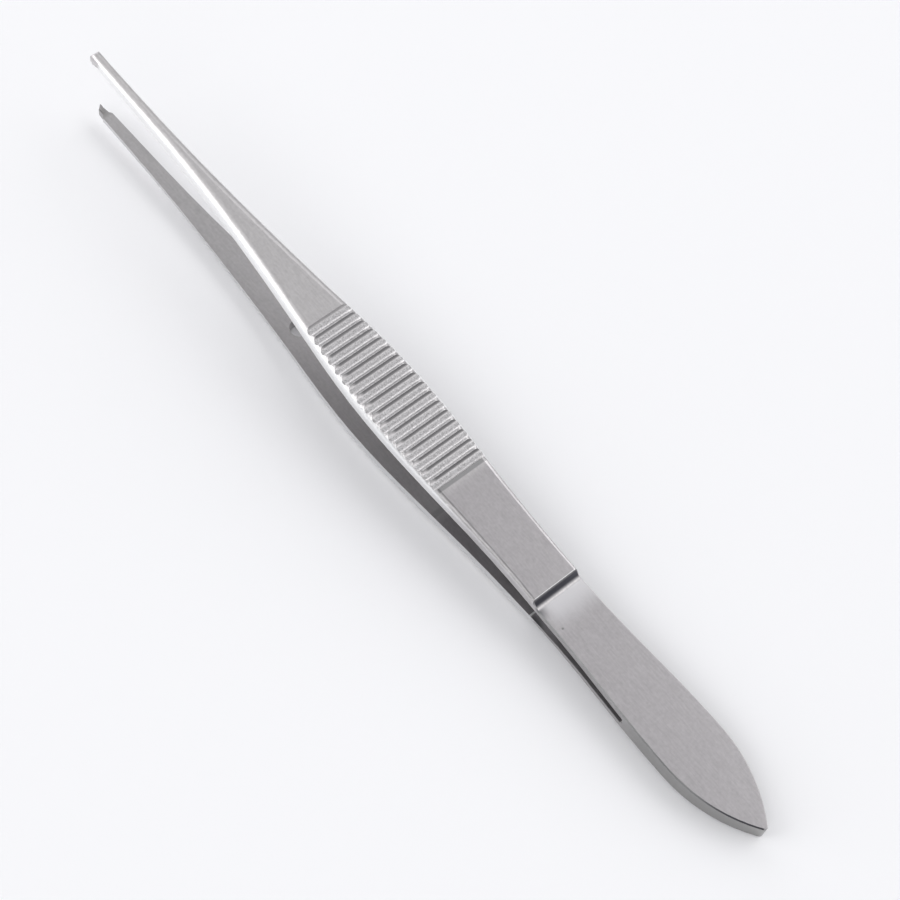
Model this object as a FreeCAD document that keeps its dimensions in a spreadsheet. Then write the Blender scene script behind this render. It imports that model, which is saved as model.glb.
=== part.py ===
import FreeCAD, Part
import math
import os
import Sketcher

# Thumb forceps with one tooth against two: two spring arms, welded together over the back of
# their leaf-shaped tail, with a guide pin in the upper arm and its guide hole in the lower one.
# Millimetres. X runs from the tips to the tail, Z is up. Both arms are drawn as the upper one,
# above the mid-plane z = 0, and the lower arm is turned half round about X.

# Lengths along the arm, from the tips towards the tail.
sizes = {
    "overall_length": 100.0,
    "shank_length": 36.04,
    "grip_lead": 1.2,
    "groove_count": 17,
    "groove_pitch": 1.2,
    "leaf_length": 28.72,
    "weld_length": 15.5,
}

# Cross-sections of an arm: its full width, the height of its inner face above the mid-plane,
# its upright side wall, and the radius that rounds that wall over to the outer flat.
sections = {
    "tip": {"width": 1.10, "rise": 4.10, "wall": 0.54, "round": 0.50},
    "jaw": {"width": 1.32, "rise": 3.92, "wall": 0.53, "round": 0.62},
    "shank": {"width": 1.60, "rise": 3.85, "wall": 0.46, "round": 0.76},
    "neck": {"width": 2.92, "rise": 3.59, "wall": 0.40, "round": 0.90},
    "grip_front": {"width": 5.12, "rise": 2.95, "wall": 0.60, "round": 0.80},
    "grip_middle": {"width": 6.90, "rise": 2.36, "wall": 0.74, "round": 0.78},
    "grip_back": {"width": 6.30, "rise": 1.73, "wall": 0.83, "round": 0.54},
    "rear": {"width": 5.58, "rise": 1.36, "wall": 0.86, "round": 0.40},
    "joint": {"width": 5.44, "rise": 0.82, "wall": 0.92, "round": 0.32},
}
for section_name, section in sections.items():
    for measure, number in section.items():
        sizes[f"{section_name}_{measure}"] = number

# The leaf, the shoulder in front of it and the slot between the leaves.
sizes.update({
    "leaf_width": 6.62,
    "leaf_flare_to_tail": 9.5,
    "tail_point_radius": 0.35,
    "leaf_root_height": 1.36,
    "leaf_tail_height": 1.08,
    "leaf_edge_bevel": 0.12,
    "shoulder_radius": 1.0,
    "joint_land": 0.13,
    "slot_end_height": 0.47,
    "slot_corner_radius": 0.3,
})

# The grip's grooves.
sizes.update({
    "groove_depth": 0.25,
    "groove_land": 0.12,
})

# The guide pin and its hole.
sizes.update({
    "guide_to_grip": 2.34,
    "guide_hole_diameter": 2.1,
    "guide_pin_diameter": 1.8,
    "guide_pin_seat": 0.8,
    "guide_pin_reach": 2.0,
    "guide_pin_cone": 0.35,
})

# The tips: a single tooth below with ground flanks, and above it a pair with a notch between.
sizes.update({
    "tooth_setback": 0.02,
    "tooth_length": 0.93,
    "tooth_root": 0.2,
    "tooth_point": 0.1,
    "single_tooth_setback": 0.25,
    "single_tooth_width": 0.5,
    "single_tooth_height": 0.65,
    "single_heel_width": 0.7,
    "flank_length": 1.2,
    "flank_slant": 0.4,
    "paired_teeth_width": 0.98,
    "paired_points_width": 0.8,
    "paired_teeth_height": 0.68,
    "notch_depth": 0.25,
    "heel_groove_width": 0.65,
    "heel_groove_depth": 0.2,
    "nose_bevel": 0.3,
})

# How far a cutter stands clear of what it cuts.
sizes["cutter_margin"] = 0.5

doc = FreeCAD.newDocument("thumb_forceps")
sheet = doc.addObject("Spreadsheet::Sheet", "dims")
for row, (alias, number) in enumerate(sizes.items(), start=1):
    sheet.set(f"A{row}", alias)
    sheet.set(f"B{row}", str(number))
    sheet.setAlias(f"B{row}", alias)
doc.recompute()

# Places along the arm, as expressions of the driving dimensions.
grip_length = "(dims.grip_lead + dims.groove_count * dims.groove_pitch)"
shoulder_x = "(dims.overall_length - dims.leaf_length)"
foot_x = f"({shoulder_x} + dims.shoulder_radius)"
joint_x = f"({foot_x} + dims.joint_land)"
grip_back_x = f"(dims.shank_length + {grip_length})"
slot_end_x = "(dims.overall_length - dims.weld_length)"
flare_x = "(dims.overall_length - dims.leaf_flare_to_tail)"
guide_x = "(dims.shank_length - dims.guide_to_grip)"
station_x = {
    "tip": "0",
    "jaw": "dims.shank_length / 6",
    "shank": "dims.shank_length / 3",
    "neck": "dims.shank_length * 2 / 3",
    "grip_front": "dims.shank_length",
    "grip_middle": f"dims.shank_length + {grip_length} / 2",
    "grip_back": grip_back_x,
    "rear": f"({grip_back_x} + {joint_x}) / 2",
    "joint": joint_x,
}

# The inner face at the guide, on the straight line between the sections beside it.
guide_share = f"({guide_x} / dims.shank_length * 3 - 2)"
guide_rise = f"(dims.neck_rise + (dims.grip_front_rise - dims.neck_rise) * {guide_share})"


def outer_height(station):
    return f"(dims.{station}_rise + dims.{station}_wall + dims.{station}_round)"


def origin_plane(body, role):
    return next(plane for plane in body.Origin.OriginFeatures if plane.Role == role)


def place_on(feature, body, role, offset):
    """Attach a sketch or primitive to an origin plane, shifted by an expression for each axis."""
    feature.AttachmentSupport = [(origin_plane(body, role), "")]
    feature.MapMode = "FlatFace"
    for axis, expression in offset.items():
        feature.setExpression(f"AttachmentOffset.Base.{axis}", expression)


def new_sketch(body, role, name, **offset):
    sketch = body.newObject("Sketcher::SketchObject", name)
    place_on(sketch, body, role, offset)
    return sketch


def fix_point(sketch, edge, end, across, up):
    """Tie one end, or the centre, of a sketch edge to the origin by two expressions."""
    for kind, expression in (("DistanceX", across), ("DistanceY", up)):
        distance = float(sketch.evalExpression(expression))
        index = sketch.addConstraint(Sketcher.Constraint(kind, -1, 1, edge, end, distance))
        sketch.setExpression(f"Constraints[{index}]", expression)


def fix_radius(sketch, edge, expression):
    radius = float(sketch.evalExpression(expression))
    index = sketch.addConstraint(Sketcher.Constraint("Radius", edge, radius))
    sketch.setExpression(f"Constraints[{index}]", expression)


def at(sketch, across, up):
    return FreeCAD.Vector(float(sketch.evalExpression(across)), float(sketch.evalExpression(up)), 0)


def polygon(sketch, corners):
    """A closed outline of straight edges through corners given as pairs of expressions."""
    points = [at(sketch, across, up) for across, up in corners]
    for index, point in enumerate(points):
        following = points[(index + 1) % len(points)]
        sketch.addGeometry(Part.LineSegment(point, following), False)
    for index, (across, up) in enumerate(corners):
        following = (index + 1) % len(corners)
        sketch.addConstraint(Sketcher.Constraint("Coincident", index, 2, following, 1))
        fix_point(sketch, index, 1, across, up)


def join_ends(sketch, pairs):
    for first, first_end, second, second_end in pairs:
        sketch.addConstraint(Sketcher.Constraint("Coincident", first, first_end, second, second_end))


def arc_between(centre, start, end):
    """An anticlockwise arc about centre, from the direction of start to that of end."""
    radius = centre.distanceToPoint(start)
    circle = Part.Circle(centre, FreeCAD.Vector(0, 0, 1), radius)
    first = math.atan2(start.y - centre.y, start.x - centre.x)
    last = math.atan2(end.y - centre.y, end.x - centre.x)
    if last < first:
        last += 2 * math.pi
    return Part.ArcOfCircle(circle, first, last)


def cut_across(body, sketch, name):
    """Cut an outline right through the arm."""
    pocket = body.newObject("PartDesign::Pocket", name)
    pocket.Profile = sketch
    pocket.Type = "ThroughAll"
    pocket.SideType = "Symmetric"
    return pocket


def loft_between(body, name, sketches):
    loft = body.newObject("PartDesign::AdditiveLoft", name)
    loft.Profile = sketches[0]
    loft.Sections = sketches[1:]
    return loft


def section_sketch(body, station):
    """The cross-section of the arm at one station: flat inside, rounded over outside."""
    sketch = new_sketch(body, "YZ_Plane", f"{station}_section", z=station_x[station])
    half = f"dims.{station}_width / 2"
    flat = f"({half} - dims.{station}_round)"
    bottom = f"dims.{station}_rise"
    wall_top = f"(dims.{station}_rise + dims.{station}_wall)"
    top = outer_height(station)
    low_left = at(sketch, f"-{half}", bottom)
    low_right = at(sketch, half, bottom)
    right = at(sketch, half, wall_top)
    top_right = at(sketch, flat, top)
    top_left = at(sketch, f"-{flat}", top)
    left = at(sketch, f"-{half}", wall_top)
    sketch.addGeometry([
        Part.LineSegment(low_left, low_right),
        Part.LineSegment(low_right, right),
        arc_between(at(sketch, flat, wall_top), right, top_right),
        Part.LineSegment(top_right, top_left),
        arc_between(at(sketch, f"-{flat}", wall_top), top_left, left),
        Part.LineSegment(left, low_left),
    ], False)
    join_ends(sketch, [(0, 2, 1, 1), (5, 2, 0, 1)])
    for first, second in ((1, 2), (2, 3), (3, 4), (4, 5)):
        sketch.addConstraint(Sketcher.Constraint("Tangent", first, 2, second, 1))
    fix_point(sketch, 0, 1, f"-{half}", bottom)
    fix_point(sketch, 0, 2, half, bottom)
    fix_point(sketch, 2, 3, flat, wall_top)
    fix_point(sketch, 4, 3, f"-{flat}", wall_top)
    for arc in (2, 4):
        fix_radius(sketch, arc, f"dims.{station}_round")
    return sketch


def leaf_outline(body):
    """The leaf seen from above: a waist, two swelling curves and a pointed tail."""
    sketch = new_sketch(body, "XY_Plane", "leaf_outline")
    waist = float(sketch.evalExpression("dims.joint_width / 2"))
    flare = float(sketch.evalExpression("dims.leaf_width / 2"))
    joint = float(sketch.evalExpression(joint_x))
    widest = float(sketch.evalExpression(flare_x))
    tail = float(sketch.evalExpression("dims.overall_length"))
    point = float(sketch.evalExpression("dims.tail_point_radius"))
    run = widest - joint
    swell = (run ** 2 + (flare - waist) ** 2) / (4 * (flare - waist))
    length = tail - point - widest
    nose = (length ** 2 + flare ** 2 - point ** 2) / (2 * (flare - point))
    middle = FreeCAD.Vector((joint + widest) / 2, (waist + flare) / 2, 0)
    nose_centre = FreeCAD.Vector(widest, flare - nose, 0)
    point_centre = FreeCAD.Vector(tail - point, 0, 0)
    reach = (point_centre - nose_centre).normalize() * nose
    touch = nose_centre + reach

    def below(vector):
        return FreeCAD.Vector(vector.x, -vector.y, 0)

    waist_end = FreeCAD.Vector(joint, waist, 0)
    flare_top = FreeCAD.Vector(widest, flare, 0)
    hollow_centre = FreeCAD.Vector(joint, waist + swell, 0)
    swell_centre = FreeCAD.Vector(widest, flare - swell, 0)
    sketch.addGeometry([
        Part.LineSegment(below(waist_end), waist_end),
        arc_between(hollow_centre, waist_end, middle),
        arc_between(swell_centre, flare_top, middle),
        arc_between(nose_centre, touch, flare_top),
        arc_between(point_centre, below(touch), touch),
        arc_between(below(nose_centre), below(flare_top), below(touch)),
        arc_between(below(swell_centre), below(middle), below(flare_top)),
        arc_between(below(hollow_centre), below(middle), below(waist_end)),
    ], False)
    join_ends(sketch, [(0, 2, 1, 1), (0, 1, 7, 2)])
    for first, first_end, second, second_end in (
        (1, 2, 2, 2),
        (2, 1, 3, 2),
        (3, 1, 4, 2),
        (4, 1, 5, 2),
        (5, 1, 6, 2),
        (6, 1, 7, 1),
    ):
        sketch.addConstraint(
            Sketcher.Constraint("Tangent", first, first_end, second, second_end))
    fix_point(sketch, 0, 2, joint_x, "dims.joint_width / 2")
    fix_point(sketch, 3, 2, flare_x, "dims.leaf_width / 2")
    fix_point(sketch, 4, 3, "dims.overall_length - dims.tail_point_radius", "0")
    fix_radius(sketch, 4, "dims.tail_point_radius")
    for upper_edge, upper_end, lower_edge, lower_end in ((0, 2, 0, 1), (3, 2, 5, 1)):
        sketch.addConstraint(Sketcher.Constraint(
            "Symmetric", upper_edge, upper_end, lower_edge, lower_end, -1))
    for edge, station_edge, station_end in ((1, 0, 2), (3, 3, 2), (5, 5, 1), (7, 0, 1)):
        sketch.addConstraint(
            Sketcher.Constraint("Vertical", edge, 3, station_edge, station_end))
    sketch.addConstraint(Sketcher.Constraint("Equal", 1, 2))
    sketch.addConstraint(Sketcher.Constraint("Equal", 7, 6))
    return sketch


def leaf_cut(body):
    """Side view of what is cut away above the leaf, with the hollow foot of the shoulder."""
    sketch = new_sketch(body, "XZ_Plane", "leaf_cut")
    clear = f"({outer_height('grip_back')} + dims.cutter_margin)"
    end_x = "(dims.overall_length + dims.cutter_margin)"
    root = "dims.leaf_root_height"
    arc_top = f"({root} + dims.shoulder_radius)"
    top_left = at(sketch, shoulder_x, clear)
    arc_start = at(sketch, shoulder_x, arc_top)
    arc_centre = at(sketch, foot_x, arc_top)
    foot = at(sketch, foot_x, root)
    tail = at(sketch, end_x, "dims.leaf_tail_height")
    top_right = at(sketch, end_x, clear)
    sketch.addGeometry([
        Part.LineSegment(top_left, arc_start),
        arc_between(arc_centre, arc_start, foot),
        Part.LineSegment(foot, tail),
        Part.LineSegment(tail, top_right),
        Part.LineSegment(top_right, top_left),
    ], False)
    join_ends(sketch, [(2, 2, 3, 1), (3, 2, 4, 1), (4, 2, 0, 1)])
    sketch.addConstraint(Sketcher.Constraint("Tangent", 0, 2, 1, 1))
    sketch.addConstraint(Sketcher.Constraint("Tangent", 1, 2, 2, 1))
    sketch.addConstraint(Sketcher.Constraint("Vertical", 0))
    fix_radius(sketch, 1, "dims.shoulder_radius")
    fix_point(sketch, 0, 1, shoulder_x, clear)
    fix_point(sketch, 2, 2, end_x, "dims.leaf_tail_height")
    fix_point(sketch, 3, 2, end_x, clear)
    index = sketch.addConstraint(Sketcher.Constraint("DistanceY", -1, 1, 1, 3, arc_centre.y))
    sketch.setExpression(f"Constraints[{index}]", arc_top)
    return sketch


def slot_cut(body):
    """Side view of the slot that frees the leaves ahead of the weld."""
    sketch = new_sketch(body, "XZ_Plane", "slot_cut")
    corner_x = f"({slot_end_x} - dims.slot_corner_radius)"
    corner_z = "(dims.slot_end_height - dims.slot_corner_radius)"
    floor = "-dims.cutter_margin"
    mouth_low = at(sketch, joint_x, floor)
    mouth = at(sketch, joint_x, "dims.joint_rise")
    ceiling_end = at(sketch, corner_x, "dims.slot_end_height")
    corner_centre = at(sketch, corner_x, corner_z)
    corner_end = at(sketch, slot_end_x, corner_z)
    end_low = at(sketch, slot_end_x, floor)
    run = ceiling_end.x - mouth.x
    drop = mouth.y - ceiling_end.y
    bend = (run ** 2 + drop ** 2) / (2 * drop)
    ceiling_centre = FreeCAD.Vector(ceiling_end.x, ceiling_end.y + bend, 0)
    sketch.addGeometry([
        Part.LineSegment(mouth_low, mouth),
        arc_between(ceiling_centre, mouth, ceiling_end),
        arc_between(corner_centre, corner_end, ceiling_end),
        Part.LineSegment(corner_end, end_low),
        Part.LineSegment(end_low, mouth_low),
    ], False)
    join_ends(sketch, [(0, 2, 1, 1), (3, 2, 4, 1), (4, 2, 0, 1)])
    sketch.addConstraint(Sketcher.Constraint("Tangent", 1, 2, 2, 2))
    sketch.addConstraint(Sketcher.Constraint("Tangent", 2, 1, 3, 1))
    fix_point(sketch, 0, 1, joint_x, floor)
    fix_point(sketch, 0, 2, joint_x, "dims.joint_rise")
    fix_point(sketch, 2, 3, corner_x, corner_z)
    fix_radius(sketch, 2, "dims.slot_corner_radius")
    fix_point(sketch, 3, 2, slot_end_x, floor)
    return sketch


def bevel_leaf_edge(body, leaf):
    """Break the sharp outer edge all round the leaf."""
    joint = float(sheet.evalExpression(joint_x))
    end_x = float(sheet.evalExpression("dims.overall_length + dims.cutter_margin"))
    root_x = float(sheet.evalExpression(foot_x))
    fall = (sizes["leaf_root_height"] - sizes["leaf_tail_height"]) / (end_x - root_x)

    def on_leaf_face(point):
        height = sizes["leaf_root_height"] - fall * (point.x - root_x)
        return point.x > joint - 0.001 and abs(point.z - height) < 0.01

    names = []
    for index, edge in enumerate(leaf.Shape.Edges, start=1):
        middle = edge.valueAt((edge.FirstParameter + edge.LastParameter) / 2)
        ends = [vertex.Point for vertex in edge.Vertexes]
        if all(on_leaf_face(point) for point in ends + [middle]) and middle.x > joint + 0.001:
            names.append(f"Edge{index}")
    bevel = body.newObject("PartDesign::Chamfer", "leaf_edge_bevel")
    bevel.Base = (leaf, names)
    bevel.setExpression("Size", "dims.leaf_edge_bevel")
    return bevel


def groove_outlines(body, name, first):
    """Every second groove's round cutter, on the bowed line of the grip's crests."""
    sketch = new_sketch(body, "XZ_Plane", name)
    half_chord = "((dims.groove_pitch - dims.groove_land) / 2)"
    radius = f"(({half_chord} ^ 2 + dims.groove_depth ^ 2) / (2 * dims.groove_depth))"
    front = outer_height("grip_front")
    middle = outer_height("grip_middle")
    back = outer_height("grip_back")
    for edge, index in enumerate(range(first, int(sizes["groove_count"]), 2)):
        middle_x = f"(dims.grip_lead + ({index} + 0.5) * dims.groove_pitch)"
        share = f"({middle_x} / {grip_length})"
        crest = (
            f"({front} * (1 - {share}) * (1 - 2 * {share})"
            f" + {middle} * 4 * {share} * (1 - {share})"
            f" + {back} * {share} * (2 * {share} - 1))"
        )
        across = f"dims.shank_length + {middle_x}"
        up = f"{crest} - dims.groove_depth + {radius}"
        size = float(sketch.evalExpression(radius))
        circle = Part.Circle(at(sketch, across, up), FreeCAD.Vector(0, 0, 1), size)
        sketch.addGeometry(circle, False)
        fix_point(sketch, edge, 3, across, up)
        fix_radius(sketch, edge, radius)
    return sketch


def cut_heel_groove(body):
    """The small groove across the inner face behind the teeth."""
    start = "(dims.tooth_setback + dims.tooth_length)"
    low = "(dims.tip_rise - dims.cutter_margin)"
    spread = "(dims.heel_groove_width / 2 * dims.cutter_margin / dims.heel_groove_depth)"
    sketch = new_sketch(body, "XZ_Plane", "heel_groove_outline")
    polygon(sketch, [
        (f"{start} - {spread}", low),
        (f"{start} + dims.heel_groove_width + {spread}", low),
        (f"{start} + dims.heel_groove_width / 2", "dims.tip_rise + dims.heel_groove_depth"),
    ])
    cut_across(body, sketch, "heel_groove")


def cut_nose(body):
    """The bevel over the front of the tip."""
    top = outer_height("tip")
    sketch = new_sketch(body, "XZ_Plane", "nose_outline")
    polygon(sketch, [
        ("-dims.cutter_margin", f"{top} - dims.nose_bevel - dims.cutter_margin"),
        ("dims.nose_bevel + dims.cutter_margin", f"{top} + dims.cutter_margin"),
        ("-dims.cutter_margin", f"{top} + dims.cutter_margin"),
    ])
    cut_across(body, sketch, "nose_bevel")


def tooth_ring(body, name, height, front, length, width):
    """One rectangle of a tooth, seen from above, at a height."""
    sketch = new_sketch(body, "XY_Plane", name, z=height)
    polygon(sketch, [
        (front, f"-{width} / 2"),
        (f"{front} + {length}", f"-{width} / 2"),
        (f"{front} + {length}", f"{width} / 2"),
        (front, f"{width} / 2"),
    ])
    return sketch


def add_tooth(body, name, front, width, point_width, reach):
    """A wedge that tapers from the inner face to a narrow edge or point."""
    root = tooth_ring(body, f"{name}_root", "dims.tip_rise + dims.tooth_root",
                      front, "dims.tooth_length", width)
    point = tooth_ring(body, f"{name}_point", f"dims.tip_rise - {reach}",
                       front, "dims.tooth_point", point_width)
    loft_between(body, name, [root, point])


def cut_tooth_flanks(body):
    """What is ground away in front of the single tooth and on both sides of it."""
    front = "dims.single_tooth_setback"
    clear = "(dims.jaw_width / 2 + dims.cutter_margin)"
    slant_end = "dims.flank_length + dims.flank_slant"
    side = [
        (front, "dims.single_tooth_width / 2"),
        ("dims.flank_length", "dims.single_heel_width / 2"),
        (slant_end, "dims.jaw_width / 2"),
        (slant_end, clear),
        ("-dims.cutter_margin", clear),
    ]
    sketch = new_sketch(body, "XY_Plane", "tooth_flanks_outline")
    polygon(sketch, side + [(across, f"-{up}") for across, up in reversed(side)])
    cut_across(body, sketch, "tooth_flanks")


def cut_notch(body):
    """The notch that parts the paired teeth and takes the single one."""
    sketch = new_sketch(body, "YZ_Plane", "notch_outline")
    low = "(dims.tip_rise - dims.paired_teeth_height - dims.cutter_margin)"
    mouth = "(dims.paired_points_width / 2 - dims.tooth_point)"
    deep = "(dims.paired_teeth_height + dims.notch_depth)"
    spread = f"({mouth} * (1 + dims.cutter_margin / {deep}))"
    polygon(sketch, [
        (f"-{spread}", low),
        (spread, low),
        ("0", "dims.tip_rise + dims.notch_depth"),
    ])
    notch = body.newObject("PartDesign::Pocket", "notch")
    notch.Profile = sketch
    notch.Type = "Length"
    notch.Reversed = True
    notch.setExpression("Length", "dims.tooth_setback + dims.tooth_length")


def bore_at_guide(body, name, diameter, low, height):
    """An upright bore in the inner face at the guide."""
    bore = body.newObject("PartDesign::SubtractiveCylinder", name)
    place_on(bore, body, "XY_Plane", {"x": guide_x, "z": low})
    bore.setExpression("Radius", f"{diameter} / 2")
    bore.setExpression("Height", height)


def build_forging():
    """What both arms share: blank, leaf, shoulder, slot, grooves and the shape of the tip."""
    body = doc.addObject("PartDesign::Body", "forging")
    loft_between(body, "blank", [section_sketch(body, place) for place in sections])
    leaf = body.newObject("PartDesign::Pad", "leaf")
    leaf.Profile = leaf_outline(body)
    leaf.setExpression("Length", "dims.leaf_root_height + dims.cutter_margin")
    cut_across(body, slot_cut(body), "slot")
    shoulder = cut_across(body, leaf_cut(body), "shoulder")
    doc.recompute()
    bevel_leaf_edge(body, shoulder)
    for name, first in (("odd_grooves", 0), ("even_grooves", 1)):
        cut_across(body, groove_outlines(body, f"{name}_outline", first), name)
    cut_nose(body)
    return body


def new_arm(name, forging):
    body = doc.addObject("PartDesign::Body", name)
    body.Label = name
    body.BaseFeature = forging
    return body


def build_upper_arm(forging):
    body = new_arm("upper_arm", forging)
    cut_heel_groove(body)
    add_tooth(body, "paired_teeth", "dims.tooth_setback", "dims.paired_teeth_width",
              "dims.paired_points_width", "dims.paired_teeth_height")
    cut_notch(body)
    bore_at_guide(body, "pin_seat", "dims.guide_pin_diameter",
                  f"{guide_rise} - dims.cutter_margin", "dims.guide_pin_seat + dims.cutter_margin")
    return body


def build_lower_arm(forging):
    body = new_arm("lower_arm", forging)
    cut_tooth_flanks(body)
    add_tooth(body, "single_tooth", "dims.single_tooth_setback", "dims.single_tooth_width",
              "dims.tooth_point", "dims.single_tooth_height")
    bore_at_guide(body, "guide_hole", "dims.guide_hole_diameter",
                  f"{guide_rise} - dims.cutter_margin",
                  f"{outer_height('neck')} + 2 * dims.cutter_margin - {guide_rise}")
    return body


def build_guide_pin():
    """The round pin in the upper arm, with a coned end to find the guide hole."""
    body = doc.addObject("PartDesign::Body", "guide_pin")
    body.Label = "guide_pin"
    radius = "dims.guide_pin_diameter / 2"
    cone = "dims.guide_pin_cone"
    low = f"({guide_rise} - dims.guide_pin_reach)"
    high = f"({guide_rise} + dims.guide_pin_seat)"
    sketch = new_sketch(body, "XZ_Plane", "pin_profile", x=guide_x)
    polygon(sketch, [
        ("0", low),
        (f"{radius} - {cone}", low),
        (radius, f"{low} + {cone}"),
        (radius, high),
        ("0", high),
    ])
    pin = body.newObject("PartDesign::Revolution", "pin")
    pin.Profile = sketch
    pin.ReferenceAxis = (sketch, ["V_Axis"])
    pin.Angle = 360
    return body


# How finely the lower arm's edges are read to find what it lies on, and how often.
points_per_edge = 25
settling_rounds = 4


def lay_down(upper, lower, pin):
    """Turn the lower arm over, and lay the forceps on its grip and the end of its tail."""
    flip = FreeCAD.Rotation(FreeCAD.Vector(1, 0, 0), 180)
    turned = FreeCAD.Placement(FreeCAD.Vector(), flip)
    outline = [
        turned.multVec(point)
        for edge in lower.Shape.Edges for point in edge.discretize(points_per_edge)
    ]
    weld_x = sizes["overall_length"] - sizes["weld_length"]
    tail = [point for point in outline if point.x >= weld_x]
    front = [point for point in outline if point.x < weld_x]
    lean = 0.0
    for _ in range(settling_rounds):
        foot = min(tail, key=lambda point: point.z - point.x * math.tan(lean))
        lean = max(math.atan2(foot.z - point.z, foot.x - point.x) for point in front)
    tilt = FreeCAD.Rotation(FreeCAD.Vector(0, 1, 0), math.degrees(lean))
    level = FreeCAD.Placement(FreeCAD.Vector(), tilt)
    for body in (upper, pin):
        body.Placement = level
    lower.Placement = level.multiply(turned)
    box = FreeCAD.BoundBox()
    for body in (upper, lower, pin):
        box.add(body.Shape.optimalBoundingBox(True, False))
    shift = FreeCAD.Vector(-box.Center.x, -box.Center.y, -box.ZMin)
    for body in (upper, lower, pin):
        body.Placement = FreeCAD.Placement(body.Placement.Base + shift, body.Placement.Rotation)


def main():
    forging = build_forging()
    upper = build_upper_arm(forging)
    lower = build_lower_arm(forging)
    pin = build_guide_pin()
    doc.recompute()
    lay_down(upper, lower, pin)
    doc.recompute()
    for item in doc.Objects:
        if "Invalid" in item.State or "Error" in item.State:
            raise RuntimeError(f"{item.Name} failed: {item.State}")
    os.makedirs("parts", exist_ok=True)
    for body in (upper, lower, pin):
        shape = body.Shape
        if shape.isNull() or not shape.isValid() or len(shape.Solids) != 1:
            raise RuntimeError(f"{body.Label} has no valid single solid")
        shape.exportStep(os.path.join("parts", f"{body.Label}.step"))
        print(body.Label, round(shape.Volume, 3))


main()
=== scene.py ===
import math

import bpy
from mathutils import Euler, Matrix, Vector

# Thumb forceps of satin stainless steel on a white table. The three CAD pieces keep their
# shape and get their finish here. Metres, Z up, tips towards -X.

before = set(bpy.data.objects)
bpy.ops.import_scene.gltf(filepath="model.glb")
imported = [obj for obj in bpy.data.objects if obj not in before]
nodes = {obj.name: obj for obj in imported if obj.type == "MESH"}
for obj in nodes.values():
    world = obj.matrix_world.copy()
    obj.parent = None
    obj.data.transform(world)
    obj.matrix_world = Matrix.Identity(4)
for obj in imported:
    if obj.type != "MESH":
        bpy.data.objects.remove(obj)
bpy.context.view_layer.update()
scene = bpy.context.scene
bpy.ops.object.select_all(action="DESELECT")
print("frame loaded:", sorted(nodes))


# The camera stands above the tail's left side and looks down along the arms.
camera = {
    "place": (0.07108, -0.06858, 0.17853),
    "turnDegrees": (28.878, -3.546, 49.921),
    "lensMm": 84.25,
    "sensorMm": 36.0,
    "clipFrom": 0.01,
    "clipTo": 20.0,
}


def addCamera():
    turn = Euler([math.radians(angle) for angle in camera["turnDegrees"]])
    bpy.ops.object.camera_add(location=camera["place"], rotation=turn)
    lens = bpy.context.object
    lens.name = "tableCamera"
    lens.data.lens = camera["lensMm"]
    lens.data.sensor_width = camera["sensorMm"]
    lens.data.clip_start = camera["clipFrom"]
    lens.data.clip_end = camera["clipTo"]
    scene.camera = lens


# Soft boxes round the table. Each points at the forceps, and its brightness is what shows in
# a mirror, where white paper under all of the light shows 1.
softBoxes = {
    "ceiling": {"place": (-0.36, 0.38, 0.88), "size": (0.9, 0.9), "brightness": 0.41},
    "cameraSide": {"place": (0.42, -0.60, 0.72), "size": (0.7, 0.7), "brightness": 1.5},
    "leftWall": {"place": (-0.60, -0.78, 0.48), "size": (0.85, 0.85), "brightness": 2.0},
    "leftHigh": {"place": (-0.40, -0.36, 0.86), "size": (0.7, 0.5), "brightness": 0.75},
    "tailWall": {"place": (0.90, 0.30, 0.55), "size": (0.8, 0.7), "brightness": 0.5},
    "backLight": {"place": (0.32, 0.76, 0.62), "size": (1.0, 1.0), "brightness": 1.50},
    "farWall": {"place": (-0.40, 0.85, 0.50), "size": (1.0, 0.8), "brightness": 0.36},
    "tipWall": {"place": (-0.95, 0.32, 0.32), "size": (0.8, 0.7), "brightness": 1.5},
}
worldLight = {"colour": (0.965, 0.97, 1.0, 1.0), "strength": 0.29}


def addSoftBoxes():
    for name, box in softBoxes.items():
        place = Vector(box["place"])
        turn = (-place).to_track_quat("-Z", "Y").to_euler()
        bpy.ops.object.light_add(type="AREA", location=place, rotation=turn)
        lamp = bpy.context.object
        lamp.name = name
        lamp.data.shape = "RECTANGLE"
        lamp.data.size, lamp.data.size_y = box["size"]
        lamp.data.energy = math.pi * box["brightness"] * box["size"][0] * box["size"][1]


def lightWorld():
    world = bpy.data.worlds.new("studioAir")
    scene.world = world
    world.use_nodes = True
    background = world.node_tree.nodes["Background"]
    background.inputs["Color"].default_value = worldLight["colour"]
    background.inputs["Strength"].default_value = worldLight["strength"]


# The table is one wide white sheet. Past the reach of the lamps, from farFrom to farFull metres
# out, it keeps its white for the camera and in the steel.
table = {
    "size": 20.0,
    "colour": (0.925, 0.925, 0.942, 1.0),
    "roughness": 0.9,
    "shine": 0.1,
    "farColour": (0.915, 0.915, 0.935, 1.0),
    "farFrom": 0.25,
    "farFull": 0.65,
}


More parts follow.
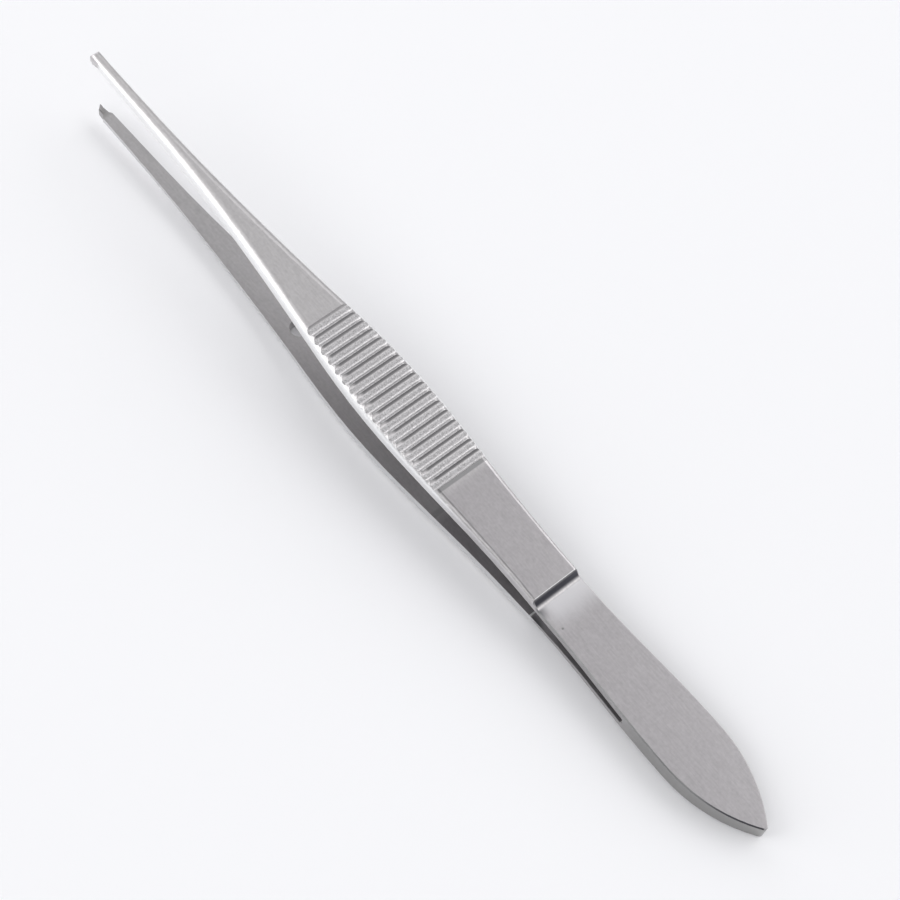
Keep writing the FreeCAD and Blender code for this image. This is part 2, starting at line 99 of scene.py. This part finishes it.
def addTable():
    bpy.ops.mesh.primitive_plane_add(size=table["size"], location=(0.0, 0.0, 0.0))
    sheet = bpy.context.object
    sheet.name = "whiteTable"
    paper = bpy.data.materials.new("tableWhite")
    paper.use_nodes = True
    nodesOf = paper.node_tree.nodes
    link = paper.node_tree.links.new
    surface = nodesOf["Principled BSDF"]
    surface.inputs["Base Color"].default_value = table["colour"]
    surface.inputs["Roughness"].default_value = table["roughness"]
    surface.inputs["Specular IOR Level"].default_value = table["shine"]

    place = nodesOf.new("ShaderNodeTexCoord")
    away = nodesOf.new("ShaderNodeVectorMath")
    away.operation = "LENGTH"
    link(place.outputs["Object"], away.inputs[0])
    far = nodesOf.new("ShaderNodeMapRange")
    far.interpolation_type = "SMOOTHSTEP"
    far.inputs["From Min"].default_value = table["farFrom"]
    far.inputs["From Max"].default_value = table["farFull"]
    link(away.outputs["Value"], far.inputs["Value"])
    rays = nodesOf.new("ShaderNodeLightPath")
    mirrored = nodesOf.new("ShaderNodeMath")
    mirrored.operation = "MAXIMUM"
    link(rays.outputs["Is Glossy Ray"], mirrored.inputs[0])
    link(rays.outputs["Is Transmission Ray"], mirrored.inputs[1])
    seen = nodesOf.new("ShaderNodeMath")
    seen.operation = "MAXIMUM"
    link(rays.outputs["Is Camera Ray"], seen.inputs[0])
    link(mirrored.outputs["Value"], seen.inputs[1])
    share = nodesOf.new("ShaderNodeMath")
    share.operation = "MULTIPLY"
    link(far.outputs["Result"], share.inputs[0])
    link(seen.outputs["Value"], share.inputs[1])
    glow = nodesOf.new("ShaderNodeEmission")
    glow.inputs["Color"].default_value = table["farColour"]
    either = nodesOf.new("ShaderNodeMixShader")
    link(share.outputs["Value"], either.inputs["Fac"])
    link(surface.outputs["BSDF"], either.inputs[1])
    link(glow.outputs["Emission"], either.inputs[2])
    link(either.outputs["Shader"], nodesOf["Material Output"].inputs["Surface"])
    sheet.data.materials.append(paper)


# Satin steel: fine blotches and short rub marks in the colour and gloss, a fine grain in the
# height, and coarser specks on the grip.
satinSteel = {
    "dark": (0.535, 0.520, 0.524, 1.0),
    "pale": (0.660, 0.643, 0.648, 1.0),
    "blotchPerMetre": 3200.0,
    "blotchDetail": 3.0,
    "rubPerMetre": (700.0, 6000.0, 6000.0),
    "rubDetail": 2.0,
    "rubShare": 0.5,
    "speckDark": (0.43, 0.42, 0.425, 1.0),
    "speckPale": (0.74, 0.73, 0.74, 1.0),
    "speckPerMetre": 6500.0,
    "speckDetail": 2.0,
    "darkBelow": 0.30,
    "paleAbove": 0.70,
    "grainPerMetre": 9000.0,
    "grainDetail": 2.0,
    "grainHeight": 0.00000022,
    "roughness": (0.27, 0.36),
    "innerRoughness": 0.14,
}

# Where the steel is paler or darker; most tints are painted shade and painted highlights, and the
# grip's
#  are specks. Facing, along and across are where a tint starts and where it is full: by the way the
#  surface faces, and by the place in metres along and across the forceps. At its ends it is still
#  full at the first number and gone at the second. The tooth is tinted whichever way it faces.
steelTints = {
    "inner": {"facing": (0.90, 0.98), "colour": (0.73, 0.73, 0.735, 1.0), "blend": "MULTIPLY"},
    # Painted highlight: the upper arm's side walls are paler towards the tips, standing in for the
    # left lamp's reflection.
    "arm side highlight": {"facing": (0.55, 0.85), "along": (0.0140, 0.0060), "ends": (-0.0480, -0.0486),
                 "colour": (0.93, 0.93, 0.93, 1.0)},
    # Painted shade: the lower arm's side walls ahead of the step are darker, as they sit low by the
    # table.
    "lower side shade": {"facing": (0.55, 0.85), "along": (0.0222, 0.0212),
                   "colour": (0.74, 0.74, 0.74, 1.0)},
    "rear top": {"facing": (0.90, 0.98), "along": (0.0078, 0.0090),
                 "colour": (0.825, 0.815, 0.83, 1.0), "blend": "MULTIPLY"},
    "tooth": {"facing": (-0.2, -0.1), "along": (-0.0484, -0.0489),
              "colour": (0.36, 0.35, 0.35, 1.0)},
    "grip": {"facing": (0.80, 0.95), "along": (-0.0130, -0.0120), "ends": (0.0074, 0.0078)},
    # Painted shade: the tail-facing walls of the grooves are dark, as they lie in shade.
    "groove side shade": {"facing": (0.34, 0.60), "along": (-0.0130, -0.0120), "ends": (0.0084, 0.0088),
                    "across": (-0.0027, -0.0021), "colour": (0.22, 0.215, 0.22, 1.0)},
    # Painted shade: a dark band at the back of the grip stands in for one more narrow groove, which
    # is not modelled.
    "last groove shade": {"facing": (0.80, 0.95), "along": (0.00730, 0.00760), "ends": (0.00800, 0.00814),
                    "colour": (0.36, 0.355, 0.36, 1.0)},
    # Painted shade: the left-facing bevels and walls of the leaves are darkened, so they show
    # little of the left lamps' reflection.
    "leaf edge shade": {"facing": (-0.45, -0.60), "along": (0.0216, 0.0222),
                  "colour": (0.36, 0.36, 0.36, 1.0)},
    # Painted shade: a near-black line along the left edges of the tail's point.
    "point edge shade": {"facing": (-0.45, -0.60), "along": (0.0410, 0.0480),
                   "colour": (0.10, 0.10, 0.11, 1.0)},
    # Painted shade: the steep side walls of the leaves are darker, as by the table they lie in
    # shade.
    "leaf side shade": {"facing": (0.55, 0.35), "along": (0.0216, 0.0222),
                  "colour": (0.44, 0.43, 0.43, 1.0)},
    # Painted shade: the steep walls of the tail are darker still.
    "tail side shade": {"facing": (0.55, 0.35), "along": (0.0340, 0.0370),
                  "colour": (0.36, 0.355, 0.35, 1.0)},
    # Painted shade: the step's tail-facing wall is nearly black, as it lies in shade.
    "step": {"facing": (0.40, 0.75), "along": (0.0211, 0.0214), "ends": (0.0230, 0.0240),
             "colour": (0.10, 0.10, 0.115, 1.0)},
    # Painted highlight: a thin bright line along the top edge of the step.
    "step rim highlight": {"facing": (0.90, 0.98), "along": (0.02116, 0.02122), "ends": (0.02136, 0.02142),
                 "colour": (0.95, 0.95, 0.95, 1.0)},
    # Painted highlight: the leaf's foot just behind the step is paler on its middle and right.
    "leaf root highlight": {"facing": (0.93, 0.995), "along": (0.02145, 0.0216), "ends": (0.0222, 0.0256),
                  "across": (-0.0032, -0.0010), "colour": (0.76, 0.75, 0.77, 1.0)},
    # Painted shade: the leaf's foot at its left corner behind the step is darker.
    "step corner shade": {"facing": (0.93, 0.995), "along": (0.02145, 0.0216), "ends": (0.0222, 0.0235),
                    "across": (-0.0016, -0.0030), "colour": (0.16, 0.16, 0.17, 1.0)},
}

# One small pit in the top leaf. It starts at the first distance from its middle and is full at
# the second.
pit = {
    "place": (0.02472, -0.00197, 0.00375),
    "reach": (0.00018, 0.00004),
    "colour": (0.28, 0.28, 0.28, 1.0),
}


# innerUp is 1 where the arm's inner face looks up and -1 where it looks down.
def makeSatinSteel(name, innerUp):
    steel = bpy.data.materials.new(name)
    steel.use_nodes = True
    tree = steel.node_tree
    surface = tree.nodes["Principled BSDF"]
    surface.inputs["Metallic"].default_value = 1.0
    coordinates = tree.nodes.new("ShaderNodeTexCoord")
    place = coordinates.outputs["Object"]

    def noise(perMetre, detail, coordinate):
        node = tree.nodes.new("ShaderNodeTexNoise")
        node.inputs["Scale"].default_value = perMetre
        node.inputs["Detail"].default_value = detail
        tree.links.new(coordinate, node.inputs["Vector"])
        return node.outputs["Fac"]

    def axes(vector):
        node = tree.nodes.new("ShaderNodeSeparateXYZ")
        tree.links.new(vector, node.inputs["Vector"])
        return node.outputs

    def rising(value, start, full):
        node = tree.nodes.new("ShaderNodeMapRange")
        node.interpolation_type = "SMOOTHSTEP"
        node.inputs["From Min"].default_value = start
        node.inputs["From Max"].default_value = full
        tree.links.new(value, node.inputs["Value"])
        return node.outputs["Result"]

    def combine(operation, first, second=None):
        node = tree.nodes.new("ShaderNodeMath")
        node.operation = operation
        tree.links.new(first, node.inputs[0])
        if second:
            tree.links.new(second, node.inputs[1])
        return node.outputs["Value"]

    def tinted(base, factor, colour, blend="MIX"):
        node = tree.nodes.new("ShaderNodeMix")
        node.data_type = "RGBA"
        node.blend_type = blend
        if isinstance(colour, tuple):
            node.inputs["B"].default_value = colour
        else:
            tree.links.new(colour, node.inputs["B"])
        tree.links.new(factor, node.inputs["Factor"])
        tree.links.new(base, node.inputs["A"])
        return node.outputs["Result"]

    stretch = tree.nodes.new("ShaderNodeMapping")
    stretch.inputs["Scale"].default_value = satinSteel["rubPerMetre"]
    tree.links.new(place, stretch.inputs["Vector"])
    blotch = noise(satinSteel["blotchPerMetre"], satinSteel["blotchDetail"], place)
    grain = noise(satinSteel["grainPerMetre"], satinSteel["grainDetail"], place)
    speck = noise(satinSteel["speckPerMetre"], satinSteel["speckDetail"], place)
    rub = noise(1.0, satinSteel["rubDetail"], stretch.outputs["Vector"])  # sized by the stretch

    marks = tree.nodes.new("ShaderNodeMix")
    marks.inputs["Factor"].default_value = satinSteel["rubShare"]
    tree.links.new(blotch, marks.inputs["A"])
    tree.links.new(rub, marks.inputs["B"])

    def ramp(value, dark, pale):
        node = tree.nodes.new("ShaderNodeValToRGB")
        node.color_ramp.elements[0].position = satinSteel["darkBelow"]
        node.color_ramp.elements[1].position = satinSteel["paleAbove"]
        node.color_ramp.elements[0].color = dark
        node.color_ramp.elements[1].color = pale
        tree.links.new(value, node.inputs["Fac"])
        return node.outputs["Color"]

    colour = ramp(marks.outputs["Result"], satinSteel["dark"], satinSteel["pale"])
    specks = ramp(speck, satinSteel["speckDark"], satinSteel["speckPale"])

    # The inner face is left duller and darker than the outer ones.
    normal = axes(coordinates.outputs["Normal"])
    spot = axes(place)
    tint = steelTints["inner"]
    start, full = tint["facing"]
    inner = rising(normal["Z"], innerUp * start, innerUp * full)
    colour = tinted(colour, inner, tint["colour"], tint["blend"])

    # Specks on the grip, and painted shade and painted highlights on its grooves, on the sides and
    # edges, and on the step and root of the leaf.
    # Upright takes in the inner faces as well as the outer ones.
    sideways = combine("ABSOLUTE", normal["Y"])
    upright = combine("ABSOLUTE", normal["Z"])
    parts = [
        ("grip", normal["Z"]),
        ("groove side shade", normal["X"]),
        ("last groove shade", upright),
        ("rear top", upright),
        ("leaf edge shade", normal["Y"]),
        ("point edge shade", normal["Y"]),
        ("leaf side shade", upright),
        ("tail side shade", upright),
        ("step", normal["X"]),
        ("step rim highlight", upright),
        ("leaf root highlight", upright),
        ("step corner shade", upright),
    ]
    if innerUp < 0:
        parts.append(("arm side highlight", sideways))
    else:
        parts.append(("lower side shade", sideways))
        parts.append(("tooth", upright))
    for part, facing in parts:
        tint = steelTints[part]
        start, full = tint["facing"]
        if part == "grip":  # on the outer face alone
            start, full = -innerUp * start, -innerUp * full
        factor = combine("MULTIPLY", rising(facing, start, full), rising(spot["X"], *tint["along"]))
        if "ends" in tint:
            endStart, endFull = tint["ends"]
            factor = combine("MULTIPLY", factor, rising(spot["X"], endFull, endStart))
        if "across" in tint:
            factor = combine("MULTIPLY", factor, rising(spot["Y"], *tint["across"]))
        colour = tinted(colour, factor, tint.get("colour", specks), tint.get("blend", "MIX"))

    away = tree.nodes.new("ShaderNodeVectorMath")
    away.operation = "DISTANCE"
    away.inputs[1].default_value = pit["place"]
    tree.links.new(place, away.inputs[0])
    colour = tinted(colour, rising(away.outputs["Value"], *pit["reach"]), pit["colour"])
    tree.links.new(colour, surface.inputs["Base Color"])

    gloss = tree.nodes.new("ShaderNodeMapRange")
    gloss.inputs["To Min"].default_value = satinSteel["roughness"][0]
    gloss.inputs["To Max"].default_value = satinSteel["roughness"][1]
    tree.links.new(rub, gloss.inputs["Value"])
    duller = tree.nodes.new("ShaderNodeMath")
    duller.operation = "MULTIPLY_ADD"
    duller.inputs[1].default_value = satinSteel["innerRoughness"]
    tree.links.new(inner, duller.inputs[0])
    tree.links.new(gloss.outputs["Result"], duller.inputs[2])
    tree.links.new(duller.outputs["Value"], surface.inputs["Roughness"])

    bump = tree.nodes.new("ShaderNodeBump")
    bump.inputs["Distance"].default_value = satinSteel["grainHeight"]
    tree.links.new(grain, bump.inputs["Height"])
    tree.links.new(bump.outputs["Normal"], surface.inputs["Normal"])
    return steel


addCamera()
lightWorld()
addSoftBoxes()
addTable()
print("camera, lamps and table placed")

finishes = {
    "upper_arm": makeSatinSteel("upperArmSteel", -1),
    "lower_arm": makeSatinSteel("lowerArmSteel", 1),
}
finishes["guide_pin"] = finishes["upper_arm"]
for name, finish in finishes.items():
    for materialSlot in nodes[name].material_slots:
        materialSlot.material = finish
print("steel finished")

scene.view_settings.view_transform = "Standard"
